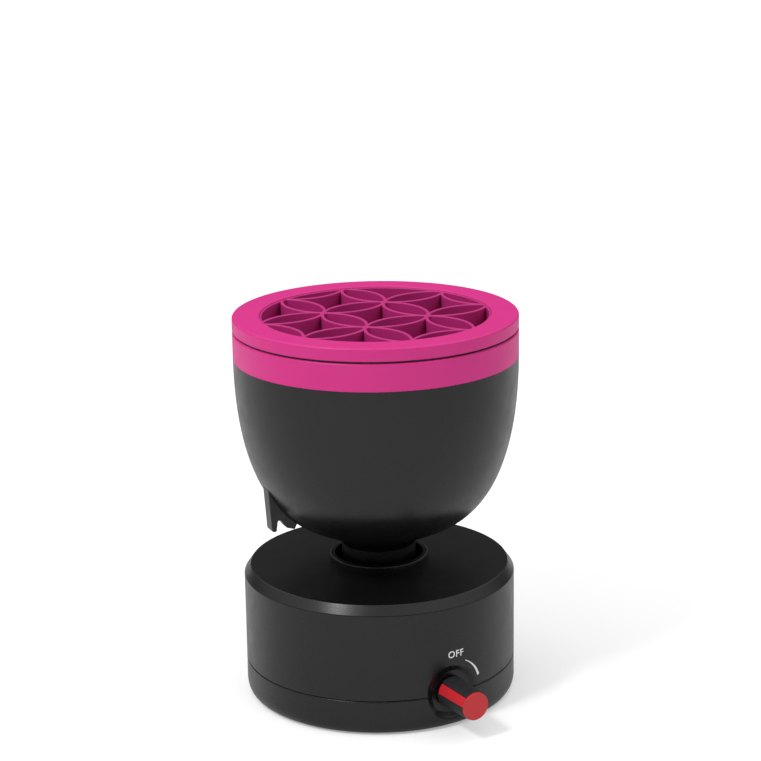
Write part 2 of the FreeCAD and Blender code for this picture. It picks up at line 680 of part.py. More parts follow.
def charging_socket():
    """A small flat-oval power inlet in the back of the base, with its tongue."""
    def oval(wide, high, start, end):
        half = wide / 2 - high / 2
        body = block((-half, start, SOCKET_Z - high / 2), (half, end, SOCKET_Z + high / 2))
        for x in (-half, half):
            round_end = Part.makeCylinder(high / 2, end - start, at(x, start, SOCKET_Z), at(0, 1, 0))
            body = body.fuse(round_end)
        return body
    shell = oval(9.0, 3.4, 47.6, BASE_R - 0.8).cut(oval(8.4, 2.8, 53.0, BASE_R))
    tongue = block((-3.2, 52.5, SOCKET_Z - 0.35), (3.2, 58.4, SOCKET_Z + 0.35))
    return fused([shell, tongue])


def motor_leads():
    """Two wires from the motor's end cap up to the board."""
    wires = []
    for x, start_y in ((-20.0, 9.65), (-17.4, 6.15)):
        route = [
            (x, start_y, 6.6), (x, 16.2, 6.6), (x, 16.2, 31.2), (x, 23.0, 31.2), (x, 23.0, BOARD_HIGH)]
        wires.append(lead(route, 2.0))
    return Part.makeCompound(wires)


def battery_leads():
    """A wire from each contact leaf over to the board."""
    wires = []
    for side, x in ((-1, -CELL_LONG / 2 - 1.15), (1, CELL_LONG / 2 + 1.15)):
        wires.append(lead([(x, CELL_Y, CELL_Z + 8), (x, CELL_Y, 32.0), (side * 19.0, CELL_Y, 32.0),
                           (side * 19.0, CELL_Y, BOARD_HIGH)]))
    return Part.makeCompound(wires)


def switch_leads():
    """Three wires from the switch's tags, along the floor and up to the board."""
    angle = math.radians(KNOB_ANGLE)
    wires = []
    for side in (-1, 0, 1):
        tag_x = side * 4.0 * math.cos(angle) + 47.4 * math.sin(angle)
        tag_y = side * 4.0 * math.sin(angle) - 47.4 * math.cos(angle)
        x = 14.0 + side * 3.0
        route = [
            (tag_x, tag_y, KNOB_Z - TAG_END), (tag_x, tag_y, 5.6), (x, -20.0, 5.6), (x, 15.8, 5.6),
            (x, 15.8, 31.2), (x, 23.0, 31.2), (x, 23.0, BOARD_HIGH)]
        wires.append(lead(route, 0.9))
    return Part.makeCompound(wires)


def build():
    os.makedirs("parts", exist_ok=True)
    save("base_housing", base_housing())
    save("base_bottom_cover", base_bottom_cover())
    save("anti_slip_pad", anti_slip_pad())
    save("cover_screws", cover_screws())
    save("motor_plate", motor_plate())
    save("plate_screws", plate_screws())
    save("motor_can", motor_can())
    save("motor_end_cap", motor_end_cap())
    save("motor_screws", motor_screws())
    save("motor_shaft", motor_shaft())
    save("motor_pinion", motor_pinion())
    save("drive_shaft", drive_shaft())
    save("drive_gear", drive_gear())
    save("shaft_clip", shaft_clip())
    save("lower_bush", bush(31.6, PLATE_SPAN[1]))
    save("upper_bush", bush(48.4, 52.0))
    save("shaft_seal", shaft_seal())
    save("drive_hub", drive_hub())
    save("drive_socket", drive_socket())
    save("bowl_shell", bowl_shell())
    save("collar_ring", collar_ring())
    save("rack_rim", rack_rim())
    save("petal_grid", petal_grid())
    save("rim_seal", rim_seal())
    save("scrub_mat", scrub_mat())
    save("rotary_switch", rotary_switch())
    save("switch_nut", switch_nut())
    save("switch_shaft", switch_shaft())
    save("knob_body", knob_body())
    save("knob_marker", knob_marker())
    save("battery_cell", battery_cell())
    save("battery_holder", battery_holder())
    save("battery_contacts", battery_contacts())
    save("control_board", control_board())
    save("board_components", board_components())
    save("charging_socket", charging_socket())
    save("motor_leads", motor_leads())
    save("battery_leads", battery_leads())
    save("switch_leads", switch_leads())


build()
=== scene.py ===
import json
import math

import bmesh
import bpy
from mathutils import Matrix, Vector


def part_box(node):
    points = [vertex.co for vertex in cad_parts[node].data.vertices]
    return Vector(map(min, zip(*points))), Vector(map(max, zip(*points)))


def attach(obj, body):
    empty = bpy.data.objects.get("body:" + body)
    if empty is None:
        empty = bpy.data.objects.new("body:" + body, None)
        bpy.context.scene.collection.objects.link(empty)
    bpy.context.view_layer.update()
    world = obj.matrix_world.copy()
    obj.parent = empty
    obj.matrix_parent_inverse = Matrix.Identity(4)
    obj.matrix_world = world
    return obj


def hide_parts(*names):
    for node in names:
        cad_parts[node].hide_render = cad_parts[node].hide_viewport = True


# The looks of an electric make-up brush cleaner: a satin black motor base with a speed knob, a black
# bowl on a short neck, a magenta collar and a magenta rack whose petals hold the brushes.
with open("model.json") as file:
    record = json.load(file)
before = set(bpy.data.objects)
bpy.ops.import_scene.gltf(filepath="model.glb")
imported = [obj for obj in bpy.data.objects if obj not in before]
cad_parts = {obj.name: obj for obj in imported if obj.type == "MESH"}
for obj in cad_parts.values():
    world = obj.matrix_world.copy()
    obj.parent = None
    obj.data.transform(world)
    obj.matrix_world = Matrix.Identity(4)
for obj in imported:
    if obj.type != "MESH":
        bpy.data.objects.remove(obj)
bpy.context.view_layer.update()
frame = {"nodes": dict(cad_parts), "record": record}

MM = 0.001

# Sizes in millimetres. Those that the frame knows are read from its boxes.
def node_mm(name):
    """A CAD node's box in millimetres."""
    low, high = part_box(name)
    return low / MM, high / MM


HOUSING_LOW, HOUSING_HIGH = node_mm("base_housing")
COVER_LOW = node_mm("base_bottom_cover")[0]
BOWL_LOW, BOWL_HIGH = node_mm("bowl_shell")
COLLAR_LOW, COLLAR_HIGH = node_mm("collar_ring")
RIM_LOW, RIM_HIGH = node_mm("rack_rim")
GRID_LOW, GRID_HIGH = node_mm("petal_grid")
PAD_HIGH = node_mm("anti_slip_pad")[1]
MAT_LOW, MAT_HIGH = node_mm("scrub_mat")

BASE_R = HOUSING_HIGH.x
BASE_SEAM = HOUSING_LOW.z
COLLAR_TOP = HOUSING_HIGH.z
BASE_TOP = COLLAR_TOP - 4.0
BASE_BEVEL = (3.0, 4.2)  # how far in and how far down
NECK_COLLAR_R = 22.0
WELL_R = 19.6
WELL_FLOOR = 54.0
DRIVE_HOLE_R = 6.0
WALL = 2.2
EDGE = 0.35              # the small chamfer on both sides of the parting line
COVER_FLOOR = 4.2
COVER_TONGUE = 1.4
SCREW_RING_R = 52.0
SCREW_ANGLES = (30, 150, 270)
SCREW_HEAD_R = 3.0
SCREW_HEAD_TOP = 3.4
SOCKET_WIDE = 9.8
SOCKET_TALL = 4.0
SOCKET_Z = 30.3
PAD_GROOVES = (18.0, 28.0, 38.0)
RIM_R = COLLAR_HIGH.x
BOWL_RIM = COLLAR_LOW.z
LIP_R = RIM_R - 1.6
NECK_R = 16.5
NECK_WALL = 2.5
NECK_CEILING = 70.0
BOWL_FLOOR = 79.2
BOWL_WALL = 2.3
LUG_ANGLE = math.radians(-66.0)
LUG_THICK = 6.4

OPENING_R = GRID_HIGH.x
PLUG_R = LIP_R - 2.4
PLUG_LOW = 160.0
PLUG_WALL = 1.6
LID_THICK = 2.4
LID_SEAM = 0.85
MAT_THICK = 2.0
MAT_NUBS = ((8, 10.0), (14, 16.0), (20, 22.5))   # how many, at what radius

KNOB_ANGLE = math.radians(31.0)
KNOB_Z = 16.2
KNOB_R = 6.3
KNOB_BACK = 58.7
KNOB_END = 77.5
KNOB_FACE = 78.4
DISH_R = 11.1
DISH_OUT = 58.2          # along the knob's axis, from the base's centre line
DISH_EDGE = 3.8          # width of the dish's rounded step
MARK_START = 59.6
MARK_TURN = math.radians(63.0)
MARK_WIDE = 4.0
MARK_PLAY = 0.15
MARK_ROOT = 4.4
SLOT_ROOT = 3.8

INK_THICK = 0.04
WORD_TALL = 4.3
WORD_PLACE = (1.63, 16.2)            # from the knob's axis, right and up
ARC_R = 15.0
ARC_WIDE = 0.9
ARC_START = math.radians(26)         # clockwise from the top
ARC_SWEEP = math.radians(46)

GRID_PITCH = 32.5
GRID_TURN = math.radians(35.0)
GRID_WALL = 1.5

FULL_TURN = 240          # steps round the large turned parts
ROUNDING_STEPS = 4
DISH_SPREAD = math.radians(15)      # the stretch of wall on each side of the knob with fine steps
DISH_STEPS = 200
ROW = 0.3                # height of the rows of faces that the dish is pressed into
INNER_ROW = 1.0
DISH_ROWS_TOP = 33.0


# ---------------------------------------------------------------- shapes

def soften(corners):
    """Round the corners of a closed outline of (radius, height, rounding) in millimetres."""
    points = []
    for k, (r, z, size) in enumerate(corners):
        here = Vector((r, z))
        if size == 0:
            points.append(here)
            continue
        before = (Vector(corners[k - 1][:2]) - here).normalized()
        after = (Vector(corners[(k + 1) % len(corners)][:2]) - here).normalized()
        half = before.angle(after) / 2
        centre = here + (before + after).normalized() * (size / math.sin(half))
        arm = here + before * (size / math.tan(half)) - centre
        sweep = math.pi - 2 * half
        if before.x * after.y - before.y * after.x > 0:
            sweep = -sweep
        for step in range(ROUNDING_STEPS + 1):
            points.append(centre + Matrix.Rotation(sweep * step / ROUNDING_STEPS, 2) @ arm)
    return points


def curve(*poles, steps=24):
    """Points along a cubic curve between its first and last pole, as corners with no rounding."""
    a, b, c, d = (Vector(p) for p in poles)
    points = []
    for step in range(steps + 1):
        t = step / steps
        s = 1 - t
        p = a * s ** 3 + b * 3 * s * s * t + c * 3 * s * t * t + d * t ** 3
        points.append((p.x, p.y, 0))
    return points


def outline_wire(bm, points):
    """Draw a closed outline in the XZ plane and return its vertices and edges."""
    verts = [bm.verts.new((p.x * MM, 0, p.y * MM)) for p in points]
    edges = [bm.edges.new(pair) for pair in zip(verts, verts[1:] + verts[:1])]
    return verts + edges


def close_up(bm):
    bmesh.ops.remove_doubles(bm, verts=bm.verts, dist=0.002 * MM)
    bmesh.ops.recalc_face_normals(bm, faces=bm.faces)


def turned(corners, steps=FULL_TURN):
    """A full turn of a softened outline about the vertical axis."""
    bm = bmesh.new()
    wire = outline_wire(bm, soften(corners))
    bmesh.ops.spin(bm, geom=wire, cent=(0, 0, 0), axis=(0, 0, 1), angle=math.tau, steps=steps,
                   use_merge=True)
    close_up(bm)
    return bm


def turned_at(corners, x, y, steps):
    """A small turned part standing at x, y in millimetres."""
    bm = turned(corners, steps)
    bmesh.ops.translate(bm, verts=bm.verts, vec=(x * MM, y * MM, 0))
    return bm


def merge(target, *others):
    """Copy other bmeshes into the target as separate closed shells."""
    for other in others:
        mesh = bpy.data.meshes.new("part")
        other.to_mesh(mesh)
        other.free()
        target.from_mesh(mesh)
        bpy.data.meshes.remove(mesh)
    return target


def helper(bm):
    """A bmesh as a throw-away object, for a cut or a union."""
    mesh = bpy.data.meshes.new("helper")
    bm.to_mesh(mesh)
    bm.free()
    made = bpy.data.objects.new("helper", mesh)
    bpy.context.scene.collection.objects.link(made)
    return made


def combined(bm, tools, operation, solver="MANIFOLD"):
    """Cut, join or keep the overlap of a closed bmesh with tool bmeshes, one after another."""
    body = helper(bm)
    for tool_bm in tools:
        tool = helper(tool_bm)
        change = body.modifiers.new("change", "BOOLEAN")
        change.operation = operation
        change.solver = solver
        change.object = tool
        graph = bpy.context.evaluated_depsgraph_get()
        mesh = bpy.data.meshes.new_from_object(body.evaluated_get(graph))
        body.modifiers.remove(change)
        old = body.data
        body.data = mesh
        bpy.data.meshes.remove(old)
        bpy.data.meshes.remove(tool.data)
    result = bmesh.new()
    result.from_mesh(body.data)
    bpy.data.meshes.remove(body.data)
    return result


def piece(name, bm, body, slot, stands_for=(), smooth_angle=32.0):
    """Make a bmesh a named piece that rides on a body and takes its slot's finish."""
    mesh = bpy.data.meshes.new(name)
    bm.to_mesh(mesh)
    bm.free()
    mesh.shade_smooth()
    mesh.set_sharp_from_angle(angle=math.radians(smooth_angle))
    mesh.materials.append(FINISH[slot])
    made = bpy.data.objects.new(name, mesh)
    bpy.context.scene.collection.objects.link(made)
    weighted = made.modifiers.new("weighted", "WEIGHTED_NORMAL")
    weighted.keep_sharp = True
    weighted.weight = 90
    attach(made, body)
    if stands_for:
        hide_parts(*stands_for)
    return made


def knob_place():
    """From knob space (X right, Y up, Z outward along its axis) to the row frame."""
    right = Vector((math.cos(KNOB_ANGLE), math.sin(KNOB_ANGLE), 0))
    out = Vector((math.sin(KNOB_ANGLE), -math.cos(KNOB_ANGLE), 0))
    turn = Matrix((right, (0, 0, 1), out)).transposed().to_4x4()
    return Matrix.Translation((0, 0, KNOB_Z * MM)) @ turn


# ---------------------------------------------------------------- finishes

def hex_colour(code):
    """An sRGB hex value as linear red, green, blue and alpha."""
    parts = [int(code[k:k + 2], 16) / 255 for k in (1, 3, 5)]
    return [c / 12.92 if c <= 0.04045 else ((c + 0.055) / 1.055) ** 2.4 for c in parts] + [1.0]


def add(tree, kind, inputs=(), **settings):
    """Add a node, set its properties, and set or link its inputs, named or numbered."""
    made = tree.nodes.new(kind)
    for key, value in settings.items():
        setattr(made, key, value)
    for key, value in dict(inputs).items():
        if isinstance(value, bpy.types.NodeSocket):
            tree.links.new(value, made.inputs[key])
        else:
            made.inputs[key].default_value = value
    return made


def per_mm(size):
    """The scale of a texture whose features are about that many millimetres across."""
    return 1 / (size * MM)


def surface(name):
    """A new material with a Principled surface; returns the material, its tree and the shader."""
    material = bpy.data.materials.new(name)
    material.use_nodes = True
    tree = material.node_tree
    return material, tree, tree.nodes["Principled BSDF"]


def moulded(name, dark, light, gloss, grain_mm=0.5, grain_depth=0.012, reflect=0.5, **shader_values):
    """Moulded plastic or rubber: a faint drift of colour, uneven gloss and a spark-eroded grain.

    The skin's fine texture makes it duller and less mirror-like at a glancing angle.
    """
    material, tree, shader = surface(name)
    place = add(tree, "ShaderNodeTexCoord").outputs["Object"]
    drift = add(tree, "ShaderNodeTexNoise", {"Vector": place, "Scale": per_mm(38), "Detail": 3.0})
    tint = add(tree, "ShaderNodeMix", {
        "Factor": drift.outputs["Fac"], "A": hex_colour(dark), "B": hex_colour(light)}, data_type="RGBA")
    handled = add(tree, "ShaderNodeTexNoise", {
        "Vector": place, "Scale": per_mm(9), "Detail": 5.0, "Roughness": 0.62})
    shine = add(tree, "ShaderNodeMapRange", {
        "Value": handled.outputs["Fac"], "From Min": 0.3, "From Max": 0.7,
        "To Min": gloss - 0.05, "To Max": gloss + 0.05})
    grain = add(tree, "ShaderNodeTexNoise", {
        "Vector": place, "Scale": per_mm(grain_mm), "Detail": 2.0, "Roughness": 0.5})
    relief = add(tree, "ShaderNodeBump", {
        "Height": grain.outputs["Fac"], "Strength": 1.0, "Distance": grain_depth * MM})
    glancing = add(tree, "ShaderNodeLayerWeight", {"Blend": 0.25}).outputs["Facing"]
    duller = add(tree, "ShaderNodeMath", {0: glancing, 1: 0.2, 2: shine.outputs["Result"]},
                 operation="MULTIPLY_ADD")
    tree.links.new(tint.outputs["Result"], shader.inputs["Base Color"])
    tree.links.new(duller.outputs["Value"], shader.inputs["Roughness"])
    weaker = add(tree, "ShaderNodeMath", {0: glancing, 1: -0.8 * reflect, 2: reflect},
                 operation="MULTIPLY_ADD")
    tree.links.new(weaker.outputs["Value"], shader.inputs["Specular IOR Level"])
    tree.links.new(relief.outputs["Normal"], shader.inputs["Normal"])
    for key, value in shader_values.items():
        shader.inputs[key.replace("_", " ")].default_value = value
    return material


def metal(name, tone, gloss, grain_mm, stretch=(1, 1, 1)):
    """Bare metal: drawn, ground or turned lines in its gloss and relief."""
    material, tree, shader = surface(name)
    place = add(tree, "ShaderNodeTexCoord").outputs["Object"]
    along = add(tree, "ShaderNodeMapping", {"Vector": place, "Scale": stretch})
    lines = add(tree, "ShaderNodeTexNoise", {
        "Vector": along.outputs["Vector"], "Scale": per_mm(grain_mm), "Detail": 4.0})
    shine = add(tree, "ShaderNodeMapRange", {
        "Value": lines.outputs["Fac"], "To Min": gloss - 0.08, "To Max": gloss + 0.1})
    relief = add(tree, "ShaderNodeBump", {
        "Height": lines.outputs["Fac"], "Strength": 0.6, "Distance": 0.006 * MM})
    deeper = [c * 0.86 for c in hex_colour(tone)]
    tint = add(tree, "ShaderNodeMix", {
        "Factor": lines.outputs["Fac"], "A": hex_colour(tone), "B": deeper}, data_type="RGBA")
    tree.links.new(tint.outputs["Result"], shader.inputs["Base Color"])
    tree.links.new(shine.outputs["Result"], shader.inputs["Roughness"])
    tree.links.new(relief.outputs["Normal"], shader.inputs["Normal"])
    shader.inputs["Metallic"].default_value = 1.0
    return material


FINISH = {
    # Black ABS from a lightly spark-eroded tool: deep black, soft wide reflections.
    "black_abs": moulded("black_abs_satin", "#0a0a0b", "#0f0f10", 0.25, reflect=0.32),
    # The knob has a soft-touch coat, greyer and duller than the ABS round it.
    "black_knob": moulded("black_soft_touch_coat", "#1b1b1d", "#202022", 0.5, grain_mm=0.4,
                          reflect=0.36),
    # Magenta ABS: saturated pigment, satin skin.
    "magenta_abs": moulded("magenta_abs_satin", "#bb2674", "#c32b7c", 0.36, reflect=0.24),
    # Soft elastomer of the grid: the same pigment, duller and slightly translucent. Its darker base
    # colour is partly the elastomer's own tone and partly painted shade for the deep cells.
    "magenta_soft": moulded("magenta_tpe_with_painted_cell_shade", "#a5246a", "#ae2a72", 0.42, grain_mm=0.6,
                            reflect=0.24),
    "mat_silicone": moulded("pink_silicone_mat", "#d4307f", "#dd3c8a", 0.5, grain_mm=0.8,
                            Subsurface_Weight=0.15, Subsurface_Scale=0.003),
    "red_abs": moulded("red_abs_satin", "#b01e26", "#ba242b", 0.32, grain_mm=0.4, reflect=0.36),
    "pad_rubber": moulded("black_rubber_pad", "#141415", "#1b1b1c", 0.82, grain_mm=0.7,
                          grain_depth=0.05),
    "black_rubber": moulded("black_rubber_seal", "#0c0c0c", "#121212", 0.7, grain_depth=0.02),
    "grey_nylon": moulded("grey_nylon_moulding", "#83878a", "#909396", 0.5),
    "black_nylon": moulded("black_nylon_moulding", "#17171a", "#1d1d20", 0.5),
    "white_acetal": moulded("white_acetal_gear", "#e4e2da", "#eeece5", 0.38, Subsurface_Weight=0.1,
                            Subsurface_Scale=0.002),
    "cell_wrap": moulded("blue_shrink_sleeve", "#2a66a8", "#3173bb", 0.22, grain_mm=2.5,
                         grain_depth=0.03),
    "board_green": moulded("green_solder_mask", "#1a5f37", "#217346", 0.35, grain_mm=1.2,
                           grain_depth=0.03),
    "component_black": moulded("black_epoxy_package", "#1d1e20", "#26272a", 0.55),
    "wire_red": moulded("red_pvc_sleeve", "#a82226", "#b92b2e", 0.4),
    "zinc_steel": metal("bright_zinc_steel", "#b9bcc0", 0.32, 0.8),
    "motor_steel": metal("nickel_plated_steel", "#a9adb1", 0.28, 0.5, (1, 1, 0.08)),
    "bright_steel": metal("ground_steel", "#c6c9cd", 0.2, 0.4, (1, 1, 4)),
    "brass": metal("machined_brass", "#c8a24a", 0.26, 0.4),
    "bronze": metal("sintered_bronze", "#a9783f", 0.45, 0.25),
}
PRINT_INK = moulded("white_pad_print", "#d6d6d6", "#e0e0e0", 0.5, grain_mm=0.3, grain_depth=0.006)

for node_name, node_object in frame["nodes"].items():
    slot_name = next(s["material_slot"] for s in frame["record"]["subparts"] if s["node"] == node_name)
    node_object.data.materials.clear()
    node_object.data.materials.append(FINISH[slot_name])


# ---------------------------------------------------------------- base

def wall_rows(radius, low, high, row=ROW):
    """Close-set points up or down a wall, so that the dish can be pressed into it."""
    count = max(2, round(abs(high - low) / row))
    return [(radius, low + (high - low) * k / count, 0) for k in range(count + 1)]


def drum(corners):
    """A turned wall with fine steps on the knob's side, and the round dish pressed in there."""
    bm = bmesh.new()
    wire = outline_wire(bm, soften(corners))
    start = KNOB_ANGLE - math.pi / 2 + DISH_SPREAD
    bmesh.ops.rotate(bm, verts=bm.verts, cent=(0, 0, 0), matrix=Matrix.Rotation(start, 3, "Z"))
    around = bmesh.ops.spin(bm, geom=wire, cent=(0, 0, 0), axis=(0, 0, 1),
                            angle=math.tau - 2 * DISH_SPREAD, steps=FULL_TURN)
    bmesh.ops.spin(bm, geom=around["geom_last"], cent=(0, 0, 0), axis=(0, 0, 1),
                   angle=2 * DISH_SPREAD, steps=DISH_STEPS)
    close_up(bm)
    press_dish(bm)
    return bm


def press_dish(bm):
    """Press the wall in to the dish's flat floor, with a rounded step at its edge."""
    place = knob_place()
    to_knob = place.inverted()
    for vert in bm.verts:
        spot = to_knob @ vert.co / MM
        reach = math.hypot(spot.x, spot.y)
        depth = BASE_R - math.hypot(vert.co.x, vert.co.y) / MM
        if spot.z < 0 or reach > DISH_R + DISH_EDGE / 2 or depth > 4.6:
            continue
        floor = DISH_OUT if depth < 1.5 else DISH_OUT - 2.4
        share = min(1.0, (DISH_R + DISH_EDGE / 2 - reach) / DISH_EDGE)
        share = share * share * (3 - 2 * share)
        spot.z += (min(floor, spot.z) - spot.z) * share
        vert.co = place @ (spot * MM)


def slot_cutter():
    """The flat-oval hole for the charging socket in the back wall."""
    bm = bmesh.new()
    bmesh.ops.create_cube(bm, size=1, matrix=Matrix.Translation((0, BASE_R * MM, SOCKET_Z * MM))
                          @ Matrix.Diagonal((SOCKET_WIDE * MM, 12 * MM, SOCKET_TALL * MM, 1)))
    through = [e for e in bm.edges if abs(e.verts[0].co.y - e.verts[1].co.y) > MM]
    bmesh.ops.bevel(bm, geom=through, offset=(SOCKET_TALL / 2 - 0.05) * MM, segments=8, profile=0.5,
                    affect="EDGES", material=-1)
    return bm


def make_base():
    bevel_out, bevel_down = BASE_BEVEL
    under = BASE_TOP - WALL
    housing = drum([
        (NECK_COLLAR_R, BASE_TOP, 0), (NECK_COLLAR_R, COLLAR_TOP, 0.9), (WELL_R, COLLAR_TOP, 0.5),
        (WELL_R, WELL_FLOOR, 0.6), (DRIVE_HOLE_R, WELL_FLOOR, 0.2), (DRIVE_HOLE_R, WELL_FLOOR - WALL, 0),
        (WELL_R + WALL, WELL_FLOOR - WALL, 0), (WELL_R + WALL, under, 0),
        (BASE_R - WALL - bevel_out, under, 0),
        *wall_rows(BASE_R - WALL, BASE_TOP - bevel_down - 0.6, BASE_SEAM, INNER_ROW),
        (BASE_R - EDGE, BASE_SEAM, 0), *wall_rows(BASE_R, BASE_SEAM + EDGE, DISH_ROWS_TOP),
        (BASE_R, BASE_TOP - bevel_down, 0.9), (BASE_R - bevel_out, BASE_TOP, 0.9)])
    housing = combined(housing, [slot_cutter()], "DIFFERENCE")
    piece("housing_shell", housing, "base", "black_abs", ["base_housing"], 50)

    inner_r = BASE_R - WALL - COVER_TONGUE
    foot_out = curve(
        (BASE_R - 3.0, COVER_LOW.z), (BASE_R - 1.2, COVER_LOW.z), (BASE_R, 2.8), (BASE_R, 6.0))
    cover = drum([
        (0, PAD_HIGH.z, 0), (PAD_HIGH.x + 0.3, PAD_HIGH.z, 0), (PAD_HIGH.x + 0.3, COVER_LOW.z, 0.3),
        *foot_out[:-1], *wall_rows(BASE_R, 6.0, BASE_SEAM - EDGE), (BASE_R - EDGE, BASE_SEAM, 0),
        *wall_rows(inner_r, BASE_SEAM, COVER_FLOOR, INNER_ROW), (0, COVER_FLOOR, 0)])
    bores = []
    for angle in SCREW_ANGLES:
        x = SCREW_RING_R * math.cos(math.radians(angle))
        y = SCREW_RING_R * math.sin(math.radians(angle))
        bores.append(turned_at([
            (0, -2.0, 0), (SCREW_HEAD_R, -2.0, 0), (SCREW_HEAD_R, SCREW_HEAD_TOP, 0),
            (0, SCREW_HEAD_TOP, 0)], x, y, 32))
    cover = combined(cover, bores, "DIFFERENCE")
    piece("bottom_cover_shell", cover, "base", "black_abs", ["base_bottom_cover"], 50)

    grooves = [corner for r in PAD_GROOVES
               for corner in ((r, 0, 0.15), (r, 0.5, 0.1), (r + 1.0, 0.5, 0.1), (r + 1.0, 0, 0.15))]
    pad = turned([
        (0, PAD_HIGH.z, 0), (0, 0, 0), *grooves, (PAD_HIGH.x, 0, 0.5), (PAD_HIGH.x, PAD_HIGH.z, 0.2)])
    piece("non_slip_pad", pad, "base", "pad_rubber", ["anti_slip_pad"])


# ---------------------------------------------------------------- bowl

def make_bowl():
    outside = curve((RIM_R, BOWL_RIM), (RIM_R - 0.1, 116.0), (53.8, 88.8), (34.7, 79.0), steps=56)
    foot = curve((34.7, 79.0), (28.5, 75.6), (17.5, 72.3), (NECK_R, 68.0), steps=24)
    inside = curve((33.6, 81.2), (51.4, 91.0), (59.9, 117.2), (RIM_R - BOWL_WALL, BOWL_RIM), steps=48)
    floor = curve((27.0, BOWL_FLOOR), (29.0, BOWL_FLOOR), (31.4, 80.0), (33.6, 81.2), steps=8)
    bowl = turned([
        *outside, *foot[1:], (NECK_R, BOWL_LOW.z, 0.6), (NECK_R - NECK_WALL, BOWL_LOW.z, 0.3),
        (NECK_R - NECK_WALL, NECK_CEILING, 0), (0, NECK_CEILING, 0), (0, BOWL_FLOOR, 0),
        *floor[:-1], *inside, (LIP_R - 2.0, BOWL_HIGH.z, 0.4),
        (LIP_R, BOWL_HIGH.z, 0.4), (LIP_R, BOWL_RIM, 0)])
    piece("bowl_wall", bowl, "bowl", "black_abs", ["bowl_shell"])
    piece("bowl_lug", lug(), "bowl", "black_abs")


def lug():
    """The forked lug: a flat outline, given its thickness and softened along every edge."""
    outline = soften([
        (50.5, 101.0, 0), (53.4, 100.0, 0), (52.0, 80.6, 1.0), (49.9, 80.6, 0.5), (49.0, 87.0, 0.9),
        (45.0, 81.6, 0.5), (41.4, 80.5, 0.5), (39.9, 83.6, 0)])
    bm = bmesh.new()
    verts = [bm.verts.new((p.x * MM, -LUG_THICK / 2 * MM, p.y * MM)) for p in outline]
    face = bm.faces.new(verts)
    raised = bmesh.ops.extrude_face_region(bm, geom=[face])
    moved = [v for v in raised["geom"] if isinstance(v, bmesh.types.BMVert)]
    bmesh.ops.translate(bm, verts=moved, vec=(0, LUG_THICK * MM, 0))
    bmesh.ops.recalc_face_normals(bm, faces=bm.faces)
    rims = [e for e in bm.edges if abs(e.verts[0].co.y - e.verts[1].co.y) < 0.01 * MM]
    bmesh.ops.bevel(bm, geom=rims, offset=0.35 * MM, segments=3, profile=0.5, affect="EDGES",
                    material=-1, clamp_overlap=True)
    bmesh.ops.rotate(bm, verts=bm.verts, cent=(0, 0, 0),
                     matrix=Matrix.Rotation(LUG_ANGLE - math.pi / 2, 3, "Z"))
    return bm


def make_collar():
    collar = turned([
        (LIP_R, BOWL_RIM, 0), (RIM_R, BOWL_RIM, 0.12), (RIM_R, COLLAR_HIGH.z, 0.8),
        (LIP_R - 2.0, COLLAR_HIGH.z, 0.3), (LIP_R - 2.0, BOWL_HIGH.z, 0), (LIP_R, BOWL_HIGH.z, 0)])
    piece("collar_band", collar, "bowl", "magenta_abs", ["collar_ring"])


# ---------------------------------------------------------------- rack

def petal_walls():
    """Overlapping rings with rounded tops, joined, and trimmed to the round opening."""
    arc_r = GRID_PITCH / math.sqrt(2)
    low, high = GRID_LOW.z, GRID_HIGH.z
    half = GRID_WALL / 2
    post_r = GRID_WALL * 1.25
    along = Vector((math.cos(GRID_TURN), math.sin(GRID_TURN)))
    across = Vector((-math.sin(GRID_TURN), math.cos(GRID_TURN)))
    rings = []
    posts = []
    for i in range(-2, 3):
        for j in range(-2, 3):
            centre = GRID_PITCH * (i * along + j * across)
            if centre.length - arc_r < OPENING_R - 2 * GRID_WALL:
                rings.append(turned_at([
                    (arc_r - half, low, 0.3), (arc_r + half, low, 0.3), (arc_r + half, high, 0.45),
                    (arc_r - half, high, 0.45)], centre.x, centre.y, 96))
            crossing = centre + GRID_PITCH / 2 * (along + across)
            if crossing.length < OPENING_R:
                posts.append(turned_at([
                    (0, low, 0), (post_r, low, 0.3), (post_r, high, 0.5), (0, high, 0)],
                    crossing.x, crossing.y, 24))
    joined = combined(rings[0], rings[1:] + posts, "UNION")
    round_room = turned([
        (0, low - 1, 0), (OPENING_R - 0.5, low - 1, 0), (OPENING_R - 0.5, high + 1, 0),
        (0, high + 1, 0)], 160)
    trimmed = combined(joined, [round_room], "INTERSECT")
    band = turned([
        (OPENING_R - 1.0, low, 0.3), (OPENING_R, low, 0), (OPENING_R, high, 0.25),
        (OPENING_R - 1.0, high, 0.35)], 200)
    return combined(trimmed, [band], "UNION")


def make_rack():
    low = RIM_LOW.z
    foot = COLLAR_HIGH.z + LID_SEAM
    under = RIM_HIGH.z - LID_THICK
    rim = turned([
        (OPENING_R, RIM_HIGH.z, 0.5), (OPENING_R, low, 0.3), (OPENING_R + PLUG_WALL, low, 0.3),
        (OPENING_R + PLUG_WALL, under, 0), (PLUG_R - PLUG_WALL, under, 0),
        (PLUG_R - PLUG_WALL, PLUG_LOW, 0.4), (PLUG_R, PLUG_LOW, 0.4), (PLUG_R, foot + 2.0, 0),
        (RIM_R - 2.0, foot + 2.0, 0), (RIM_R - 2.0, foot, 0.2), (RIM_R, foot, 0.6),
        (RIM_R, RIM_HIGH.z, 0.9)])
    piece("rack_lid_ring", rim, "rack", "magenta_abs", ["rack_rim"])
    piece("petal_walls", petal_walls(), "rack", "magenta_soft", ["petal_grid"])


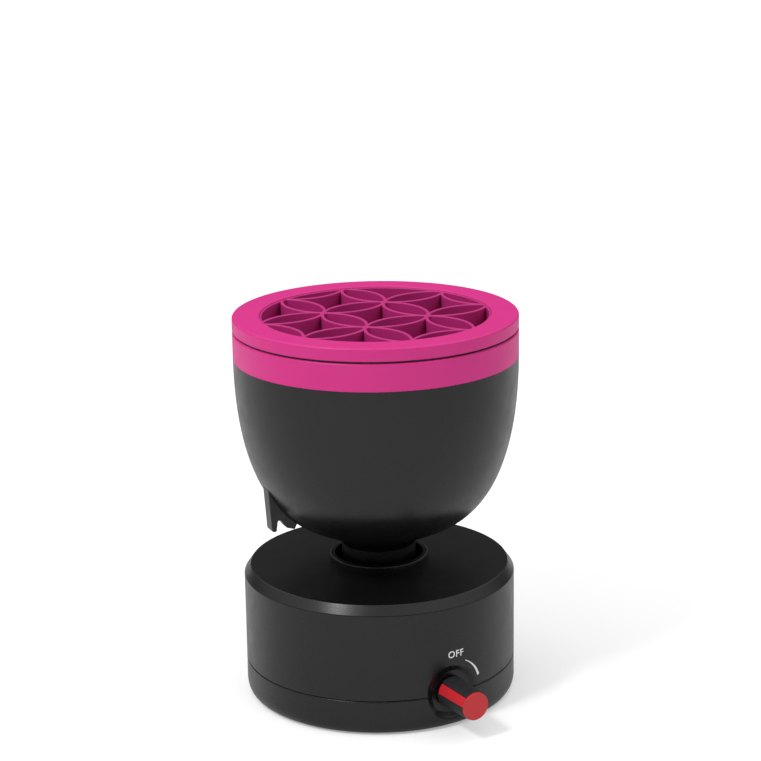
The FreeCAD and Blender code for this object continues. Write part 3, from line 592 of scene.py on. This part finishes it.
def make_mat():
    """The silicone mat: a disc with a dome in the middle and three rings of round-topped nubs."""
    low = MAT_LOW.z
    top = low + MAT_THICK
    mat = turned([
        (0, low, 0), (MAT_HIGH.x, low, 0.3), (MAT_HIGH.x, top, 0.8), (6.0, top, 0.6),
        (3.0, top + 3.0, 1.2), (0, top + 3.0, 0)], 120)
    nub = [(0, top - 0.3, 0), (1.5, top - 0.3, 0), (0.95, top + 3.6, 0.7), (0, top + 3.6, 0)]
    nubs = []
    for count, radius in MAT_NUBS:
        for k in range(count):
            turn = math.tau * k / count
            nubs.append(turned_at(nub, radius * math.cos(turn), radius * math.sin(turn), 12))
    piece("nubbed_mat", merge(mat, *nubs), "mat", "mat_silicone", ["scrub_mat"])


# ---------------------------------------------------------------- knob and print

def knob_body():
    """The knob's round side with the marker's slot along it, tapered outwards, ends rounded."""
    half_slot = MARK_WIDE / 2 + MARK_PLAY
    half = math.asin(half_slot / KNOB_R)
    slot_turn = math.pi / 2 + MARK_TURN
    bm = bmesh.new()
    outline = []
    for step in range(97):
        turn = slot_turn + half + (math.tau - 2 * half) * step / 96
        outline.append(Vector((math.cos(turn), math.sin(turn))) * KNOB_R)
    for side in (-1, 1):
        outline.append(Matrix.Rotation(slot_turn, 2) @ Vector((SLOT_ROOT, side * half_slot)))
    face = bm.faces.new([bm.verts.new((p.x * MM, p.y * MM, KNOB_BACK * MM)) for p in outline])
    raised = bmesh.ops.extrude_face_region(bm, geom=[face])
    front = [v for v in raised["geom"] if isinstance(v, bmesh.types.BMVert)]
    bmesh.ops.translate(bm, verts=front, vec=(0, 0, (KNOB_END - KNOB_BACK) * MM))
    widen = (KNOB_R + 0.7) / KNOB_R
    bmesh.ops.scale(bm, verts=[v for v in bm.verts if v not in front], vec=(widen, widen, 1))
    bmesh.ops.recalc_face_normals(bm, faces=bm.faces)
    crisp = [e for e in bm.edges if e.calc_face_angle() > math.radians(40)]
    bmesh.ops.bevel(bm, geom=crisp, offset=0.25 * MM, segments=3, profile=0.5, affect="EDGES",
                    material=-1, clamp_overlap=True)
    return bm


def marker_bar():
    """The marker's bar: a stretch of the knob's side that stands a little proud of it."""
    half = math.asin(MARK_WIDE / 2 / KNOB_R)
    bm = bmesh.new()
    wire = outline_wire(bm, soften([
        (MARK_ROOT, MARK_START, 0), (KNOB_R + 0.95, MARK_START, 0.3), (KNOB_R + 0.25, KNOB_FACE, 0.3),
        (MARK_ROOT, KNOB_FACE, 0)]))
    bmesh.ops.rotate(bm, verts=bm.verts, cent=(0, 0, 0),
                     matrix=Matrix.Rotation(math.pi / 2 + MARK_TURN - half, 3, "Z"))
    bmesh.ops.spin(bm, geom=wire, cent=(0, 0, 0), axis=(0, 0, 1), angle=2 * half, steps=16)
    bmesh.ops.holes_fill(bm, edges=bm.edges)
    close_up(bm)
    return bm


def make_knob():
    body = knob_body()
    bmesh.ops.transform(body, matrix=knob_place(), verts=body.verts)
    piece("knob_grip", body, "knob", "black_knob", ["knob_body"])

    disc = turned([
        (0, KNOB_END - 0.02, 0), (KNOB_R - 0.1, KNOB_END - 0.02, 0), (KNOB_R - 0.1, KNOB_FACE, 0.35),
        (0, KNOB_FACE, 0)], 96)
    marker = combined(disc, [marker_bar()], "UNION", "EXACT")
    bmesh.ops.transform(marker, matrix=knob_place(), verts=marker.verts)
    piece("knob_indicator", marker, "knob", "red_abs", ["knob_marker"])


def wrap_on_wall(bm):
    """Bend a print drawn flat in knob space (X right, Y up) round the base's wall."""
    for vert in bm.verts:
        turn = KNOB_ANGLE - math.pi / 2 + vert.co.x / (BASE_R * MM)
        radius = BASE_R * MM + vert.co.z
        vert.co = (radius * math.cos(turn), radius * math.sin(turn), KNOB_Z * MM + vert.co.y)


def ink(name, bm):
    mesh = bpy.data.meshes.new(name)
    bm.to_mesh(mesh)
    bm.free()
    mesh.materials.append(PRINT_INK)
    made = bpy.data.objects.new(name, mesh)
    bpy.context.scene.collection.objects.link(made)
    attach(made, "base")
    return made


def make_print():
    """The word OFF over the knob, and the arc that grows thicker as the speed rises."""
    word = bpy.data.curves.new("word", "FONT")
    word.body = "OFF"
    word.size = WORD_TALL * MM
    word.space_character = 1.1
    word.align_x = "CENTER"
    word.extrude = INK_THICK / 2 * MM
    word.offset = 0.05 * MM
    letters = bpy.data.objects.new("word", word)
    bpy.context.scene.collection.objects.link(letters)
    bpy.context.view_layer.update()
    flat = bpy.data.meshes.new_from_object(letters.evaluated_get(bpy.context.evaluated_depsgraph_get()))
    bm = bmesh.new()
    bm.from_mesh(flat)
    bpy.data.objects.remove(letters)
    bpy.data.meshes.remove(flat)
    bmesh.ops.translate(bm, verts=bm.verts, vec=Vector((*WORD_PLACE, INK_THICK / 2)) * MM)
    wrap_on_wall(bm)
    ink("print_off", bm)

    bm = bmesh.new()
    first = [bm.verts.new((0, (ARC_R + side * ARC_WIDE / 2) * MM, 0)) for side in (-1, 1)]
    line = bm.edges.new(first)
    bmesh.ops.spin(bm, geom=first + [line], cent=(0, 0, 0), axis=(0, 0, -1), angle=ARC_SWEEP, steps=36)
    for vert in bm.verts:
        turn = math.atan2(vert.co.x, vert.co.y)
        swell = 0.3 + 1.05 * turn / ARC_SWEEP
        radius = ARC_R * MM + (vert.co.length - ARC_R * MM) * swell
        vert.co = (radius * math.sin(turn + ARC_START), radius * math.cos(turn + ARC_START), 0)
    bmesh.ops.solidify(bm, geom=bm.faces, thickness=INK_THICK * MM)
    bmesh.ops.recalc_face_normals(bm, faces=bm.faces)
    wrap_on_wall(bm)
    ink("print_speed_arc", bm)


# ---------------------------------------------------------------- studio and camera

KEY_PLACE = (-0.72, -0.70, 1.32)         # metres


def make_studio():
    bpy.ops.mesh.primitive_plane_add(size=12, location=(0, 0, 0))
    floor = bpy.context.object
    floor.name = "studio_floor"
    sheet = moulded("white_paper_sweep", "#cfcfcf", "#d2d2d2", 0.9, Emission_Color=(1, 1, 1, 1),
                    Emission_Strength=0.32)
    floor.data.materials.append(sheet)
    bpy.context.scene.world = studio_sky()
    light = bpy.data.lights.new("key", "AREA")
    light.energy = 11.0
    light.size = 0.25
    lamp = bpy.data.objects.new("key", light)
    lamp.location = KEY_PLACE
    lamp.rotation_euler = (Vector((0, 0, 0.09)) - Vector(KEY_PLACE)).to_track_quat("-Z", "Y").to_euler()
    bpy.context.scene.collection.objects.link(lamp)


def studio_sky():
    """A bright ceiling that comes lower on both sides, over dim walls; a plain white backdrop behind."""
    world = bpy.data.worlds.new("studio")
    world.use_nodes = True
    tree = world.node_tree
    tree.nodes.clear()
    place = add(tree, "ShaderNodeTexCoord").outputs["Generated"]
    way = add(tree, "ShaderNodeSeparateXYZ", {"Vector": place})
    sideways = add(tree, "ShaderNodeMath", {0: way.outputs["X"]}, operation="ABSOLUTE")
    reach = add(tree, "ShaderNodeMath", {0: sideways.outputs["Value"], 1: 0.36, 2: way.outputs["Z"]},
                operation="MULTIPLY_ADD")
    glow = add(tree, "ShaderNodeMapRange", {
        "Value": reach.outputs["Value"], "From Min": 0.34, "From Max": 1.0, "To Min": 0.08,
        "To Max": 1.88}, interpolation_type="SMOOTHSTEP")
    room = add(tree, "ShaderNodeBackground", {"Strength": glow.outputs["Result"]})
    backdrop = add(tree, "ShaderNodeBackground", {"Color": (1, 1, 1, 1), "Strength": 1.0})
    seen = add(tree, "ShaderNodeLightPath").outputs["Is Camera Ray"]
    both = add(tree, "ShaderNodeMixShader", {0: seen, 1: room.outputs[0], 2: backdrop.outputs[0]})
    add(tree, "ShaderNodeOutputWorld", {"Surface": both.outputs[0]})
    return world


CAMERA_FAR = 967.5
CAMERA_TARGET = (1.85, 142.0)
CAMERA_LIFT = math.radians(15.48)
CAMERA_ROLL = math.radians(-0.87)


def make_camera():
    """A long lens, a little above the rim, held very slightly off level."""
    camera = bpy.data.objects.new("camera", bpy.data.cameras.new("camera"))
    bpy.context.scene.collection.objects.link(camera)
    bpy.context.scene.camera = camera
    camera.data.lens = 104.3
    camera.data.sensor_width = 36
    back = Vector((0, -math.cos(CAMERA_LIFT), math.sin(CAMERA_LIFT)))
    up = Vector((0, math.sin(CAMERA_LIFT), math.cos(CAMERA_LIFT)))
    right = Vector((1, 0, 0))
    tilted_right = right * math.cos(CAMERA_ROLL) + up * math.sin(CAMERA_ROLL)
    tilted_up = up * math.cos(CAMERA_ROLL) - right * math.sin(CAMERA_ROLL)
    turn = Matrix((tilted_right, tilted_up, back)).transposed().to_4x4()
    target = Vector((CAMERA_TARGET[0] * MM, 0, CAMERA_TARGET[1] * MM))
    camera.matrix_world = Matrix.Translation(target + back * CAMERA_FAR * MM) @ turn
    camera.data.clip_start = 0.05
    camera.data.clip_end = 50


make_camera()
make_studio()
make_base()
make_bowl()
make_collar()
make_rack()
make_mat()
make_knob()
make_print()
bpy.context.scene.view_settings.view_transform = "Standard"
